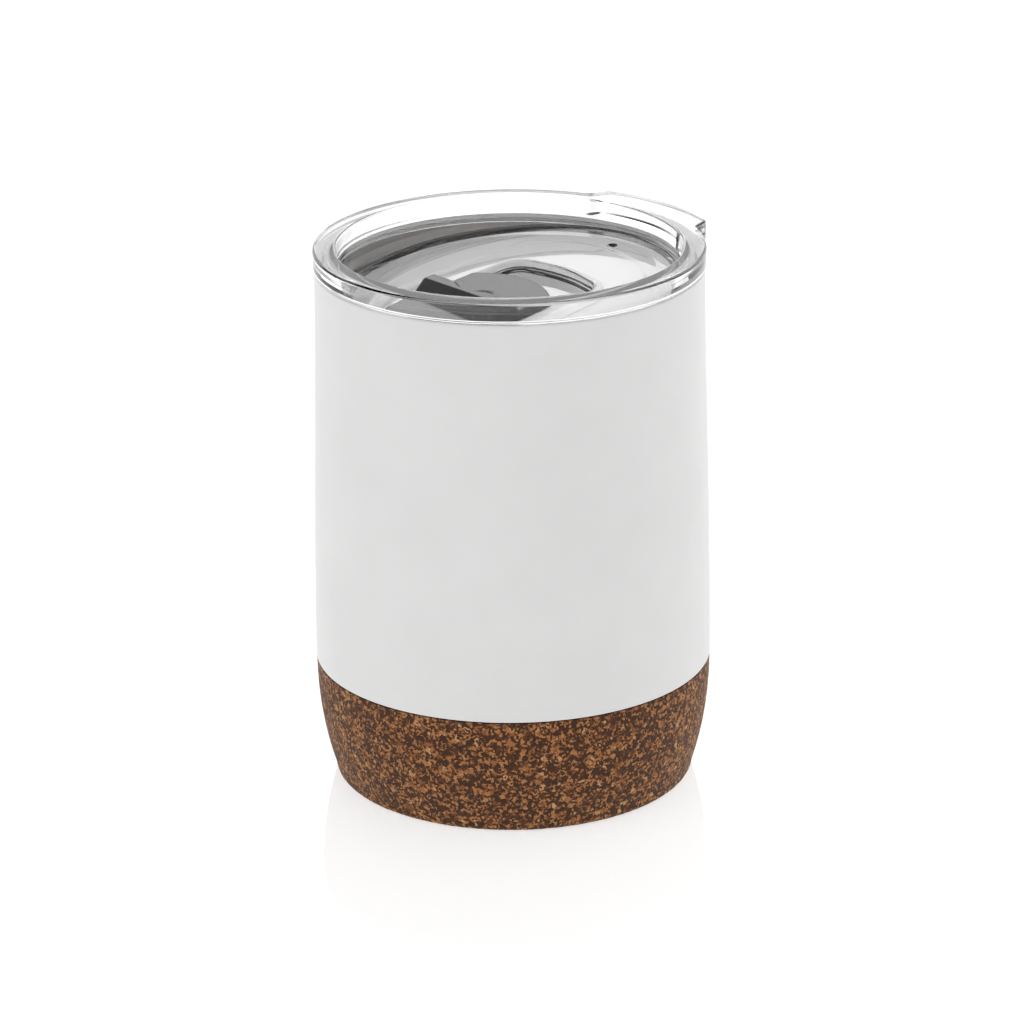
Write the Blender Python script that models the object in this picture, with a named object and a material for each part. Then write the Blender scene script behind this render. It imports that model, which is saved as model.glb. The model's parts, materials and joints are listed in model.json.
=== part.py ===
"""Double-walled insulated mug with a cork base and a clear press-in lid that has a sliding stopper.

Frame: metres, +Z up along the mug's axis, origin at the centre of the cork base's flat underside.
+Y points to the lid's thumb tab; the lid and its stopper are symmetrical about the YZ plane.
The lid's tray slopes: it is lowest at the drinking hole (-Y) and highest at the thumb tab (+Y).
"""
import math

import bmesh
import bpy
from mathutils import Matrix, Vector

MM = 0.001
SEGMENTS = 48
GAP = 0.3 * MM

# Body
BODY_RADIUS = 41.0 * MM
RIM_RADIUS = 39.68 * MM
CORK_TOP = 25.4 * MM
LIP_TOP = 109.0 * MM
SHELL_TOP = 108.1 * MM
STEEL = 0.5 * MM
MOUTH_RADIUS = 37.9 * MM
LINER_RADIUS = 37.4 * MM
LINER_LOW_RADIUS = 34.2 * MM
LINER_FLOOR = 11.0 * MM
LINER_SEAM = 21.0 * MM

# Cork base and the layers under the steel
CORK_WALL = 2.6 * MM
CORK_FLOOR = 3.4 * MM
BOND_SPACE = 1.0 * MM
BOND_THICKNESS = 0.4 * MM
CAP_BOTTOM = 4.7 * MM

# Lid
LID_TOP = 113.55 * MM
FLANGE_BOTTOM = 109.3 * MM
FLANGE_RADIUS = 39.95 * MM
FLANGE_EDGE = 0.6 * MM
TRAY_TOP_RADIUS = 35.2 * MM
TRAY_RADIUS = 34.65 * MM
TRAY_CENTRE = 103.73 * MM
TRAY_TILT = math.radians(6.28)
TRAY_THICKNESS = 2.0 * MM
SKIRT_RADIUS = 36.4 * MM
SKIRT_BOTTOM = 97.2 * MM
SKIRT_INNER_RADIUS = 34.4 * MM
TAB_REACH = 3.65 * MM
TAB_HALF_ANGLE = 25.2
TAB_END_ANGLE = 4.2
VENT_RADIUS = 1.15 * MM
VENT_PLACE = (-1.2 * MM, 29.3 * MM)

# Recess in the tray, in the tray's own sloping frame: y up the slope, z square to the tray
POCKET_HALF_WIDTH = 12.9 * MM
POCKET_FAR = 15.0 * MM
POCKET_NEAR_RADIUS = 28.0 * MM
POCKET_LEDGE = 1.6 * MM
POCKET_LEDGE_INSET = 0.4 * MM
POCKET_DEPTH = 2.6 * MM
POCKET_WALL = 1.8 * MM
HOLE_HALF_WIDTH = 8.0 * MM
HOLE_NEAR = -25.4 * MM
HOLE_FAR = -18.6 * MM
SLOT_HALF_WIDTH = 2.1 * MM
SLOT_NEAR = -6.6 * MM
SLOT_FAR = 8.5 * MM

# Stopper, in the same sloping frame, closed
SLIDER_HALF_WIDTH = 12.1 * MM
SLIDER_FAR = 5.0 * MM
SLIDER_NEAR = -26.7 * MM
SLIDER_TOP = 1.0 * MM
SLIDER_BOTTOM = -2.2 * MM
RIDGE_HEIGHT = 4.1 * MM
STEM_HALF_WIDTH = 1.7 * MM
STEM_NEAR = -6.0 * MM
STEM_FAR = -1.0 * MM
KEEPER_TOP = -4.8 * MM
KEEPER_THICKNESS = 1.4 * MM

MATERIALS = {
    "white_coat": ((0.80, 0.80, 0.80), 0.42, 0.0),
    "polished_steel": ((0.62, 0.61, 0.59), 0.12, 1.0),
    "plain_steel": ((0.50, 0.50, 0.49), 0.35, 1.0),
    "copper_foil": ((0.70, 0.38, 0.24), 0.30, 1.0),
    "solder_glass": ((0.12, 0.14, 0.12), 0.15, 0.0),
    "getter_grey": ((0.20, 0.20, 0.21), 0.70, 0.0),
    "cork": ((0.16, 0.08, 0.045), 0.80, 0.0),
    "adhesive": ((0.75, 0.70, 0.58), 0.60, 0.0),
    "clear_plastic": ((0.93, 0.95, 0.97), 0.05, 0.0),
    "clear_silicone": ((0.85, 0.86, 0.86), 0.35, 0.0),
    "dark_plastic": ((0.045, 0.040, 0.037), 0.45, 0.0),
    "grey_silicone": ((0.10, 0.10, 0.10), 0.60, 0.0),
}


def clear_scene():
    for item in list(bpy.data.objects):
        bpy.data.objects.remove(item, do_unlink=True)


def make_material(name):
    """A Principled material with the piece's colour, roughness and metallic value."""
    colour, roughness, metallic = MATERIALS[name]
    material = bpy.data.materials.new(name)
    material.use_nodes = True
    shader = material.node_tree.nodes["Principled BSDF"]
    shader.inputs["Base Color"].default_value = (*colour, 1.0)
    shader.inputs["Roughness"].default_value = roughness
    shader.inputs["Metallic"].default_value = metallic
    if name == "clear_plastic":
        shader.inputs["Transmission Weight"].default_value = 0.9
    return material


def add_object(name, bm, material, parent=None):
    """Link a finished mesh as a named object, shaded smooth between its sharp edges."""
    bmesh.ops.recalc_face_normals(bm, faces=bm.faces)
    mesh = bpy.data.meshes.new(name)
    bm.to_mesh(mesh)
    bm.free()
    mesh.shade_smooth()
    mesh.set_sharp_from_angle(angle=math.radians(35))
    item = bpy.data.objects.new(name, mesh)
    bpy.context.collection.objects.link(item)
    if material:
        item.data.materials.append(make_material(material))
    item.parent = parent
    return item


def add_empty(name, place, parent=None):
    """An empty that carries a group of pieces; its place is given under its parent."""
    item = bpy.data.objects.new(name, None)
    bpy.context.collection.objects.link(item)
    item.matrix_local = place
    item.parent = parent
    return item


# Outlines and solids

def bezier(start, control_a, control_b, end, steps):
    """Points along a cubic curve in the (radius, height) plane."""
    points = []
    for i in range(steps + 1):
        t = i / steps
        weights = ((1 - t) ** 3, 3 * t * (1 - t) ** 2, 3 * t * t * (1 - t), t ** 3)
        knots = (start, control_a, control_b, end)
        points.append(tuple(sum(w * k[axis] for w, k in zip(weights, knots)) for axis in (0, 1)))
    return points


def arc(centre, radius, start, end, steps):
    """Points on a circle in the plane, between two angles in degrees."""
    angles = [math.radians(start + (end - start) * i / steps) for i in range(steps + 1)]
    return [(centre[0] + radius * math.cos(a), centre[1] + radius * math.sin(a)) for a in angles]


def turned(profile, segments=SEGMENTS, centre=(0.0, 0.0)):
    """A closed (radius, height) outline spun about the vertical axis through centre."""
    bm = bmesh.new()
    verts = [bm.verts.new((r, 0.0, z)) for r, z in profile]
    edges = [bm.edges.new(pair) for pair in zip(verts, verts[1:] + verts[:1])
             if pair[0].co.x > 1e-7 or pair[1].co.x > 1e-7]
    bmesh.ops.spin(bm, geom=verts + edges, cent=(0, 0, 0), axis=(0, 0, 1),
                   angle=math.tau, steps=segments, use_duplicate=False)
    bmesh.ops.remove_doubles(bm, verts=bm.verts, dist=1e-6)
    bmesh.ops.translate(bm, verts=bm.verts, vec=(centre[0], centre[1], 0.0))
    return bm


def stacked(rings):
    """A closed solid from rings of equal length, each a list of 3-D points, capped at both ends."""
    bm = bmesh.new()
    loops = [[bm.verts.new(p) for p in ring] for ring in rings]
    for lower, upper in zip(loops, loops[1:]):
        for i in range(len(lower)):
            j = (i + 1) % len(lower)
            bm.faces.new((lower[i], lower[j], upper[j], upper[i]))
    bm.faces.new(list(reversed(loops[0])))
    bm.faces.new(loops[-1])
    return bm


def prism(outline, bottom, top):
    """A flat outline of (x, y) points extruded between two heights."""
    return stacked([[(x, y, z) for x, y in outline] for z in (bottom, top)])


def rounded(corners, steps=4):
    """A closed outline with each (x, y, radius) corner rounded by an arc."""
    outline = []
    for i, (x, y, radius) in enumerate(corners):
        here = Vector((x, y))
        before = (Vector(corners[i - 1][:2]) - here).normalized()
        after = (Vector(corners[(i + 1) % len(corners)][:2]) - here).normalized()
        half = before.angle(after) / 2
        centre = here + (before + after).normalized() * radius / math.sin(half)
        first = here + before * radius / math.tan(half) - centre
        last = here + after * radius / math.tan(half) - centre
        sweep = first.angle_signed(last)
        for k in range(steps + 1):
            turn = Matrix.Rotation(-sweep * k / steps, 2)
            outline.append(tuple(centre + turn @ first))
    return outline


def modify(item, cutter, operation):
    """Boolean the cutter into the item and hide the cutter."""
    cutter.hide_render = True
    cutter.display_type = "WIRE"
    boolean = item.modifiers.new(f"{operation.lower()}_{cutter.name}", "BOOLEAN")
    boolean.operation = operation
    boolean.solver = "EXACT"
    boolean.object = cutter


# Body shapes

def body_radius_points():
    """The coated wall's outer line from the lip down to the cork, swelling slightly low down."""
    return bezier((RIM_RADIUS, SHELL_TOP), (39.95 * MM, 80 * MM), (41.25 * MM, 55 * MM),
                  (41.06 * MM, CORK_TOP + GAP + 0.4 * MM), 8)


def cork_line(steps):
    """The cork's outer line from its top edge down to the start of its rounded foot."""
    return bezier((BODY_RADIUS, CORK_TOP), (BODY_RADIUS, 10.5 * MM),
                  (37.4 * MM, 2.6 * MM), (37.45 * MM, 1.6 * MM), steps)


def cork_radius(height):
    """The cork's outer radius at a height, read off its outer line."""
    points = cork_line(24)
    for (r_a, z_a), (r_b, z_b) in zip(points, points[1:]):
        if z_b <= height <= z_a:
            return r_a + (r_b - r_a) * (z_a - height) / (z_a - z_b)
    return points[-1][0]


def build_outer_shell():
    """Coated outer wall: slightly conical, stepped in where the cork fits, open at both ends."""
    shoulder = CORK_TOP + GAP
    inset = CORK_WALL + BOND_SPACE
    outside = body_radius_points()
    low_heights = (shoulder, 19 * MM, 12 * MM, CAP_BOTTOM)
    low = [(cork_radius(min(z, CORK_TOP)) - inset, z) for z in low_heights]
    edge = [(40.7 * MM, shoulder)]
    inside_low = [(r - STEEL, z) for r, z in reversed(low[1:])]
    inside_shoulder = [(low[0][0] - STEEL, shoulder + STEEL),
                       (40.3 * MM, shoulder + STEEL + 0.2 * MM)]
    inside = [(r - STEEL, z) for r, z in reversed(outside[:-1])]
    profile = outside + edge + low + inside_low + inside_shoulder + inside
    return add_object("outer_shell", turned(profile), "white_coat")


def build_inner_liner():
    """Polished inner wall with the rolled lip that closes over the outer wall's edge."""
    lip = [(37.95 * MM, 108.3 * MM), (38.25 * MM, LIP_TOP - 0.1 * MM), (38.6 * MM, LIP_TOP),
           (39.25 * MM, LIP_TOP), (39.6 * MM, LIP_TOP - 0.2 * MM), (39.62 * MM, SHELL_TOP + GAP)]
    under_lip = [(38.6 * MM, SHELL_TOP + GAP)]
    outside = [(MOUTH_RADIUS + STEEL, 107.6 * MM), (MOUTH_RADIUS + STEEL, 98.5 * MM),
               (LINER_RADIUS + STEEL, 95.5 * MM), (LINER_RADIUS + STEEL, 41 * MM),
               (LINER_LOW_RADIUS + STEEL, 28 * MM), (LINER_LOW_RADIUS + STEEL, LINER_SEAM)]
    inside = [(r - STEEL, z) for r, z in reversed(outside)]
    return add_object("inner_liner", turned(lip + under_lip + outside + inside), "polished_steel")


def build_liner_base():
    """Dished floor of the liner, welded on at the seam."""
    corner = 9.0 * MM
    centre = (LINER_LOW_RADIUS - corner, LINER_FLOOR + corner)
    top = LINER_SEAM - GAP
    outer = arc(centre, corner + STEEL, 0, -90, 4)
    inner = arc(centre, corner, -90, 0, 4)
    profile = [(LINER_LOW_RADIUS + STEEL, top)] + outer + [(0.0, LINER_FLOOR - STEEL)]
    profile += [(0.0, LINER_FLOOR)] + inner + [(LINER_LOW_RADIUS, top)]
    return add_object("liner_base", turned(profile), "polished_steel")


def build_outer_base_cap():
    """Pressed steel disc that closes the outer wall, with the evacuation dimple at its centre."""
    edge = cork_radius(CAP_BOTTOM) - CORK_WALL - BOND_SPACE - STEEL - GAP
    thickness = 0.6 * MM
    dimple = 0.9 * MM
    profile = [
        (edge, 8.0 * MM), (edge, CAP_BOTTOM + 0.8 * MM), (edge - 0.8 * MM, CAP_BOTTOM),
        (4.2 * MM, CAP_BOTTOM), (3.2 * MM, CAP_BOTTOM + dimple), (0.7 * MM, CAP_BOTTOM + dimple),
        (0.7 * MM, CAP_BOTTOM + dimple + thickness), (3.6 * MM, CAP_BOTTOM + dimple + thickness),
        (4.6 * MM, CAP_BOTTOM + thickness), (edge - 1.1 * MM, CAP_BOTTOM + thickness),
        (edge - thickness, CAP_BOTTOM + 1.2 * MM), (edge - thickness, 8.0 * MM)]
    return add_object("outer_base_cap", turned(profile), "plain_steel")


def build_vacuum_parts():
    """What sits in or closes the evacuated space between the two walls."""
    bead_bottom = CAP_BOTTOM + 0.05 * MM
    bead = [(0.0, bead_bottom + 0.55 * MM), (2.7 * MM, bead_bottom + 0.55 * MM),
            (2.9 * MM, bead_bottom + 0.3 * MM), (2.4 * MM, bead_bottom), (0.0, bead_bottom)]
    add_object("vacuum_seal_bead", turned(bead, 24), "solder_glass")

    spot = (15.0 * MM, 0.0)
    clip = [(6.5 * MM, 6.1 * MM), (6.5 * MM, 5.6 * MM), (0.0, 5.6 * MM), (0.0, 6.1 * MM),
            (5.4 * MM, 6.1 * MM), (5.4 * MM, 7.4 * MM), (5.9 * MM, 7.4 * MM), (5.9 * MM, 6.1 * MM)]
    add_object("getter_clip", turned(clip, 20, spot), "plain_steel")
    pellet = [(5.1 * MM, 7.7 * MM), (5.1 * MM, 6.4 * MM), (0.0, 6.4 * MM), (0.0, 7.7 * MM)]
    add_object("getter_pellet", turned(pellet, 20, spot), "getter_grey")

    inner = LINER_RADIUS + STEEL + 0.35 * MM
    outer = inner + 0.2 * MM
    foil = [(outer, 93 * MM), (outer, 44 * MM), (inner, 44 * MM), (inner, 93 * MM)]
    add_object("heat_shield_foil", turned(foil), "copper_foil")


def build_cork_base():
    """Cork cup round the foot of the mug, flush with the coated wall, with a rounded foot."""
    outside = cork_line(7)
    foot = arc((35.85 * MM, 1.6 * MM), 1.6 * MM, -25, -90, 3)
    inside_heights = (CORK_FLOOR, 8 * MM, 14 * MM, 19 * MM, CORK_TOP)
    inside = [(cork_radius(z) - CORK_WALL, z) for z in inside_heights]
    profile = outside + foot + [(0.0, 0.0), (0.0, CORK_FLOOR)] + inside
    add_object("cork_base", turned(profile), "cork")

    outer_gap = CORK_WALL + GAP
    heights = (22 * MM, 15 * MM, 9 * MM)
    ring_outer = [(cork_radius(z) - outer_gap, z) for z in heights]
    ring_inner = [(r - BOND_THICKNESS, z) for r, z in reversed(ring_outer)]
    add_object("cork_bond_ring", turned(ring_outer + ring_inner), "adhesive")
    pad_bottom = CORK_FLOOR + GAP
    pad_top = CAP_BOTTOM - GAP
    pad = [(30 * MM, pad_top), (30 * MM, pad_bottom), (0.0, pad_bottom), (0.0, pad_top)]
    add_object("cork_bond_pad", turned(pad), "adhesive")


# Lid shapes

def lid_angles():
    """Directions round the lid in degrees from +Y, with extra ones at the thumb tab's two ends."""
    even = [360 * i / SEGMENTS for i in range(SEGMENTS)]
    ends = [side * (TAB_HALF_ANGLE - TAB_END_ANGLE * part) for side in (1, -1)
            for part in (0, 0.25, 0.5, 0.75, 1)]
    near_tab = [a for a in even if 18 < min(a, 360 - a) < TAB_HALF_ANGLE + 2]
    return sorted([a for a in even if a not in near_tab] + [e % 360 for e in ends])


def tab_reach(angle):
    """How far the thumb tab stands out of the flange in a direction, in degrees from +Y."""
    off_axis = min(angle, 360 - angle)
    rise = min(max((TAB_HALF_ANGLE - off_axis) / TAB_END_ANGLE, 0.0), 1.0)
    return TAB_REACH * rise * rise * (3 - 2 * rise)


def lid_ring(radius, height, with_tab):
    """One ring of the lid's outer surface."""
    ring = []
    for angle in lid_angles():
        reach = radius + (tab_reach(angle) if with_tab else 0.0)
        bearing = math.radians(angle)
        ring.append((-reach * math.sin(bearing), reach * math.cos(bearing), height))
    return ring


def build_lid_blank(parent):
    """The lid's outer form as one solid: flange with thumb tab above, plug with seal seat below."""
    plug = [(36.0 * MM, SKIRT_BOTTOM), (SKIRT_RADIUS + 0.45 * MM, 100.4 * MM),
            (SKIRT_RADIUS + 0.45 * MM, 101.3 * MM), (SKIRT_RADIUS, 101.7 * MM),
            (SKIRT_RADIUS, FLANGE_BOTTOM)]
    flange = [(FLANGE_RADIUS - FLANGE_EDGE, FLANGE_BOTTOM),
              (FLANGE_RADIUS, FLANGE_BOTTOM + FLANGE_EDGE),
              (FLANGE_RADIUS, LID_TOP - FLANGE_EDGE), (FLANGE_RADIUS - FLANGE_EDGE, LID_TOP)]
    rings = [lid_ring(r, z, False) for r, z in plug] + [lid_ring(r, z, True) for r, z in flange]
    return add_object("lid_body", stacked(rings), "clear_plastic", parent)


def tray_height(y):
    """Height of the sloping tray at a distance towards the thumb tab."""
    return TRAY_CENTRE + math.tan(TRAY_TILT) * y


def sloping_plug(low_radius, high_radius, end_height, offset):
    """A round cutter with one level end and one end on the tray's slope, moved by offset."""
    circle = [math.tau * i / SEGMENTS for i in range(SEGMENTS)]
    level = [(high_radius * math.sin(a), high_radius * math.cos(a), end_height) for a in circle]
    slope = [(low_radius * math.sin(a), low_radius * math.cos(a),
              tray_height(low_radius * math.cos(a)) + offset) for a in circle]
    return stacked([slope, level])


def pocket_outline(inset):
    """Recess outline: straight sides, gently bowed far end, near end following the tray's wall."""
    half = POCKET_HALF_WIDTH - inset
    far = POCKET_FAR - inset
    radius = POCKET_NEAR_RADIUS - inset
    reach = math.degrees(math.asin((half - 2.5 * MM) / radius))
    near = arc((0.0, 0.0), radius, -90 - reach, -90 + reach, 6)
    corner_y = -math.sqrt(radius ** 2 - half ** 2)
    far_end = rounded([(half, far - 2.3 * MM, 4.0 * MM - inset), (0.0, far, 36 * MM),
                       (-half, far - 2.3 * MM, 4.0 * MM - inset),
                       (-half, -60 * MM, 0.1 * MM), (half, -60 * MM, 0.1 * MM)])
    far_end = [point for point in far_end if point[1] > 0]
    near_side = [(half, corner_y + 2.2 * MM)]
    other_side = [(-half, corner_y + 2.2 * MM)]
    return near + near_side + far_end + other_side


def build_lid():
    """Clear lid: tray sunk to a slope, stepped recess for the stopper, hole, guide slot, vent."""
    lift = add_empty("lid_lift", Matrix.Identity(4))
    tray = add_empty("tray_frame", Matrix.Translation((0, 0, TRAY_CENTRE))
                     @ Matrix.Rotation(TRAY_TILT, 4, "X"), lift)
    body = build_lid_blank(lift)
    above = LID_TOP + 1.0 * MM
    widen = (TRAY_TOP_RADIUS - TRAY_RADIUS) / (LID_TOP - TRAY_CENTRE)
    top_radius = TRAY_RADIUS + widen * (above - TRAY_CENTRE)
    steps = [
        ("tray_cut", sloping_plug(TRAY_RADIUS, top_radius, above, 0.0), lift, "DIFFERENCE"),
        ("under_cut", sloping_plug(SKIRT_INNER_RADIUS, SKIRT_INNER_RADIUS,
                                   SKIRT_BOTTOM - 1.0 * MM, -TRAY_THICKNESS), lift, "DIFFERENCE"),
        ("pocket_tub", prism(pocket_outline(-POCKET_WALL), -POCKET_DEPTH - POCKET_WALL,
                             -0.5 * TRAY_THICKNESS), tray, "UNION"),
        ("pocket_upper", prism(pocket_outline(0.0), -POCKET_LEDGE, 3 * MM), tray, "DIFFERENCE"),
        ("pocket_lower", prism(pocket_outline(POCKET_LEDGE_INSET), -POCKET_DEPTH, 3 * MM),
         tray, "DIFFERENCE"),
        ("hole_cut", prism(rounded([
            (HOLE_HALF_WIDTH, HOLE_NEAR, 3.2 * MM), (HOLE_HALF_WIDTH, HOLE_FAR, 3.2 * MM),
            (-HOLE_HALF_WIDTH, HOLE_FAR, 3.2 * MM), (-HOLE_HALF_WIDTH, HOLE_NEAR, 3.2 * MM)]),
            -8 * MM, 3 * MM), tray, "DIFFERENCE"),
        ("slot_cut", prism(rounded([
            (SLOT_HALF_WIDTH, SLOT_NEAR, 1.0 * MM), (SLOT_HALF_WIDTH, SLOT_FAR, 1.0 * MM),
            (-SLOT_HALF_WIDTH, SLOT_FAR, 1.0 * MM), (-SLOT_HALF_WIDTH, SLOT_NEAR, 1.0 * MM)], 2),
            -8 * MM, 3 * MM), tray, "DIFFERENCE"),
        ("vent_cut", turned([(0.0, 3 * MM), (VENT_RADIUS, 3 * MM), (VENT_RADIUS, -4 * MM),
                             (0.0, -4 * MM)], 16, VENT_PLACE), tray, "DIFFERENCE"),
    ]
    for name, mesh, parent, operation in steps:
        modify(body, add_object(name, mesh, None, parent), operation)

    seat = SKIRT_RADIUS + GAP
    top = FLANGE_BOTTOM - GAP
    gasket = [(seat, top), (37.45 * MM, top), (37.6 * MM, top - 0.2 * MM),
              (37.6 * MM, top - 0.5 * MM), (37.3 * MM, top - 0.8 * MM),
              (37.6 * MM, top - 1.1 * MM), (37.6 * MM, top - 1.4 * MM),
              (37.3 * MM, top - 1.7 * MM), (seat, top - 1.7 * MM)]
    add_object("lid_gasket", turned(gasket), "clear_silicone", lift)
    return tray


def slider_outline():
    """Stopper plate outline: straight sides, far end bowed, near end following the tray's wall."""
    half = SLIDER_HALF_WIDTH
    bow = 18.5 * MM
    far_reach = math.degrees(math.asin((half - 0.4 * MM) / bow))
    far = arc((0.0, SLIDER_FAR - bow), bow, 90 - far_reach, 90 + far_reach, 10)
    near_reach = math.degrees(math.asin((half - 1.5 * MM) / -SLIDER_NEAR))
    near = arc((0.0, 0.0), -SLIDER_NEAR, -90 - near_reach, -90 + near_reach, 6)
    far_corner = far[0][1] - 0.5 * MM
    near_corner = near[0][1] + 2.4 * MM
    return near + [(half, near_corner), (half, far_corner)] + far \
        + [(-half, far_corner), (-half, near_corner)]


def ridge_section():
    """Side outline of the finger ridge: steep rounded front, flat crest, long ramp behind."""
    base = SLIDER_TOP - 0.5 * MM
    front = arc((-12.4 * MM, RIDGE_HEIGHT - 3.4 * MM), 3.4 * MM, 175, 90, 5)
    back = [(-9.4 * MM, RIDGE_HEIGHT), (-8.6 * MM, RIDGE_HEIGHT - 0.25 * MM)]
    return [(front[0][0], base)] + front + back + [(-4.3 * MM, SLIDER_TOP), (-4.3 * MM, base)]


def build_slider(tray):
    """Stopper: plate with a finger ridge and a stem, seal pad below it, keeper under the lid."""
    carriage = add_empty("stopper_slide", Matrix.Identity(4), tray)
    plate = add_object("slider_plate", prism(slider_outline(), SLIDER_BOTTOM, SLIDER_TOP),
                       "dark_plastic", carriage)
    half = SLIDER_HALF_WIDTH
    ridge = stacked([[(x, y, z) for y, z in ridge_section()] for x in (half, -half)])
    modify(plate, add_object("ridge_form", ridge, None, carriage), "UNION")
    stem_bottom = KEEPER_TOP - KEEPER_THICKNESS - 0.4 * MM
    stem = [(STEM_HALF_WIDTH, STEM_NEAR), (STEM_HALF_WIDTH, STEM_FAR),
            (-STEM_HALF_WIDTH, STEM_FAR), (-STEM_HALF_WIDTH, STEM_NEAR)]
    modify(plate, add_object("stem_form", prism(stem, stem_bottom, SLIDER_BOTTOM + 0.5 * MM),
                             None, carriage), "UNION")
    pad_half = HOLE_HALF_WIDTH + 1.8 * MM
    pad_near = HOLE_NEAR - 0.9 * MM
    pad_far = HOLE_FAR + 2.2 * MM
    seat = rounded([(pad_half + GAP, pad_near - GAP, 3.5 * MM), (pad_half + GAP, pad_far + GAP, 3 * MM),
                    (-pad_half - GAP, pad_far + GAP, 3 * MM), (-pad_half - GAP, pad_near - GAP, 3.5 * MM)])
    pad = rounded([(pad_half, pad_near, 3.2 * MM), (pad_half, pad_far, 2.7 * MM),
                   (-pad_half, pad_far, 2.7 * MM), (-pad_half, pad_near, 3.2 * MM)])
    pad_top = SLIDER_BOTTOM + 0.9 * MM
    modify(plate, add_object("pad_seat", prism(seat, SLIDER_BOTTOM - 1 * MM, pad_top + GAP),
                             None, carriage), "DIFFERENCE")
    add_object("slider_seal", prism(pad, SLIDER_BOTTOM - 0.1 * MM, pad_top),
               "grey_silicone", carriage)

    keeper = add_object("slider_keeper", prism(rounded([
        (5.0 * MM, -9.0 * MM, 1.5 * MM), (5.0 * MM, 2.0 * MM, 1.5 * MM),
        (-5.0 * MM, 2.0 * MM, 1.5 * MM), (-5.0 * MM, -9.0 * MM, 1.5 * MM)], 3),
        KEEPER_TOP - KEEPER_THICKNESS, KEEPER_TOP), "dark_plastic", carriage)
    window = [(STEM_HALF_WIDTH + GAP, STEM_NEAR - GAP), (STEM_HALF_WIDTH + GAP, STEM_FAR + GAP),
              (-STEM_HALF_WIDTH - GAP, STEM_FAR + GAP), (-STEM_HALF_WIDTH - GAP, STEM_NEAR - GAP)]
    modify(keeper, add_object("keeper_window", prism(window, KEEPER_TOP - 3 * MM, KEEPER_TOP + 1 * MM),
                              None, carriage), "DIFFERENCE")


def main():
    clear_scene()
    build_outer_shell()
    build_inner_liner()
    build_liner_base()
    build_outer_base_cap()
    build_vacuum_parts()
    build_cork_base()
    tray = build_lid()
    build_slider(tray)


main()
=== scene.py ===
"""White double-walled cup with a cork foot and a clear lid, dressed for rendering on its CAD frame.

Every piece is built here as a fine mesh in the CAD model's own frame, in metres: +Z up, the
origin at the centre of the cork's underside, and +Y towards the lid's thumb tab.
"""
import json
import math

import bmesh
import bpy
import numpy as np
from mathutils import Matrix, Vector, noise


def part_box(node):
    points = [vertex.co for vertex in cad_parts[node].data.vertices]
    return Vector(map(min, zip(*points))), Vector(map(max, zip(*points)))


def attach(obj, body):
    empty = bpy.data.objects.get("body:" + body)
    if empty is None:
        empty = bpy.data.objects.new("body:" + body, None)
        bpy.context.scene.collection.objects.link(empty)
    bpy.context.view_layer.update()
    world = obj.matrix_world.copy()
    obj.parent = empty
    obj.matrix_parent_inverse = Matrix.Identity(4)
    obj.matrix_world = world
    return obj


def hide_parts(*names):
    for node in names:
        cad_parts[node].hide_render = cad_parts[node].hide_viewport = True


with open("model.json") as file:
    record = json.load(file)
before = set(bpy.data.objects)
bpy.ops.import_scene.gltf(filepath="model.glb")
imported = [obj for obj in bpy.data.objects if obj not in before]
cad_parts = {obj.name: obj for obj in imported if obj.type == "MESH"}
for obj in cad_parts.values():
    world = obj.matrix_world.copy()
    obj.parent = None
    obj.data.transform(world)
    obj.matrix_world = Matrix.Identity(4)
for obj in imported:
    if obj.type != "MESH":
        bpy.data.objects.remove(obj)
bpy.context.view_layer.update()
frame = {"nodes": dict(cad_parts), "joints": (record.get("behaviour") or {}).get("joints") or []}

MM = 0.001

# Places read from the frame

SHELL_LOW, SHELL_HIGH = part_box("outer_shell")
CORK_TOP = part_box("cork_base")[1].z
LIP_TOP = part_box("inner_liner")[1].z
LINER_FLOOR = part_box("liner_base")[0].z + 0.5 * MM
LID_LOW, LID_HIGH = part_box("lid_body")
LID_TOP = LID_HIGH.z
SKIRT_BOTTOM = LID_LOW.z
FLANGE_RADIUS = -LID_LOW.y
TAB_REACH = LID_HIGH.y - FLANGE_RADIUS
SLIDER_HALF_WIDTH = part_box("slider_plate")[1].x
SLIDE_AXIS = next(Vector(j["axis"]) for j in frame["joints"] if j["name"] == "stopper_slide")
TRAY_TILT = math.atan2(SLIDE_AXIS.z, SLIDE_AXIS.y)

# Sizes of the cup; the coat's skin and depth are its two faces' offsets from the lip's line

BODY_RADIUS = 41.0 * MM
RIM_RADIUS = 39.68 * MM
SHELL_TOP = SHELL_HIGH.z
SHELL_FOOT = CORK_TOP + 0.3 * MM
SHELL_BOTTOM = SHELL_LOW.z
SHELL_EDGE = 0.2 * MM
COAT_SKIN = 0.05 * MM
COAT_DEPTH = 0.12 * MM
COAT_WRAP = 1.6 * MM
STEEL = 0.5 * MM
MOUTH_RADIUS = 37.9 * MM
LINER_RADIUS = 37.4 * MM
LINER_LOW_RADIUS = 34.2 * MM
LINER_SEAM = 21.0 * MM
LINER_CORNER = 9.0 * MM
LIP_ROLL = 1.4 * MM
LIP_OUTER_RADIUS = 39.25 * MM
LIP_EDGE = 0.37 * MM
CORK_WALL = 2.6 * MM
CORK_BOND = 1.0 * MM
CORK_FLOOR = 3.4 * MM
CORK_FOOT_EDGE = 1.6 * MM
CORK_GRANULE = 1.5 * MM
CREVICE_DEPTH = 0.03 * MM
DENT_SIZE = 2.6 * MM
DENT_DEPTH = 0.04 * MM

# Sizes of the lid

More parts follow.
